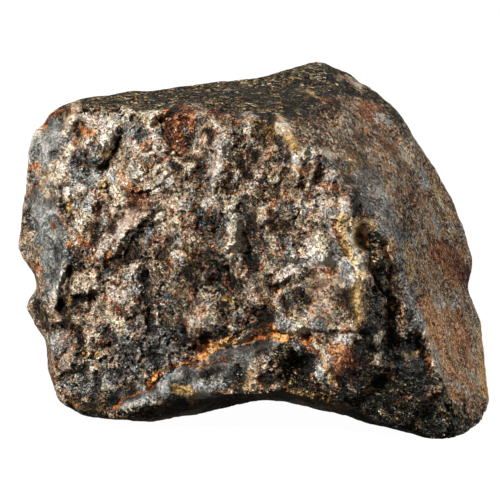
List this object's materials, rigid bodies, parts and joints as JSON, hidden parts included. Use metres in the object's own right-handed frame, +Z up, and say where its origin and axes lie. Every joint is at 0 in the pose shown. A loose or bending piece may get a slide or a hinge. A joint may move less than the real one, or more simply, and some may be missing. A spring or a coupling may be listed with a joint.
{
  "type": "meteorite",
  "caption": "Broken, weathered stony meteorite: a wedge-shaped stone with a rough broken face in front, worn dark top and sides, an undercut below the front and a flat base.",
  "frame": {"origin": "centre of the stone's bounding box, at the level of the ground it lies on", "axes": "+X along the stone's length, to the right as seen from the front; -Y to the front, out of the broken face; +Z up"},
  "size_m": [0.1186, 0.0928, 0.0812],
  "materials": {
    "stone": "matt dark brown-grey stone of mixed grains, with tan, pinkish and pale broken patches, rust stains and small glints"
  },
  "bodies": {
    "root": {"meteorite": "stone"}
  },
  "joints": []
}
